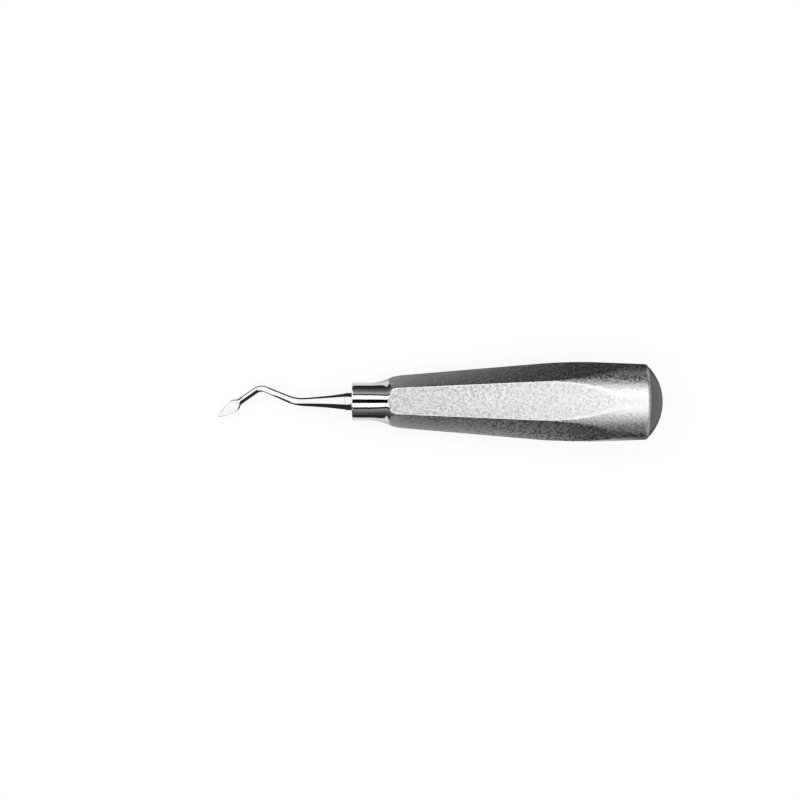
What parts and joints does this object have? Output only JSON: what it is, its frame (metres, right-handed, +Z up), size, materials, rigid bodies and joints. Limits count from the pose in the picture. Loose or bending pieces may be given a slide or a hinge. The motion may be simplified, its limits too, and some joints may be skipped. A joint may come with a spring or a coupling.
{
  "type": "bone scraper",
  "caption": "Hand instrument for scraping bone: a small leaf-shaped blade on a thin bent shank, set in a tapered faceted steel handle with a waisted collar and a domed butt.",
  "frame": {"origin": "centre of the bounding box in plan, at the level of the surface the instrument lies on", "axes": "+X from the blade towards the butt, +Y across the handle, +Z up away from the surface; the handle lies on one of its flats, so its axis climbs 4.17 degrees towards the butt"},
  "size_m": [0.1348, 0.024, 0.0237],
  "materials": {
    "blasted_stainless": "glass-bead blasted flats and rear, with a polished collar",
    "turned_stainless": "finely turned satin",
    "polished_stainless": "mirror polished"
  },
  "bodies": {
    "root": {"handle": "blasted_stainless", "butt_cap": "turned_stainless", "working_end": "polished_stainless"}
  },
  "joints": []
}
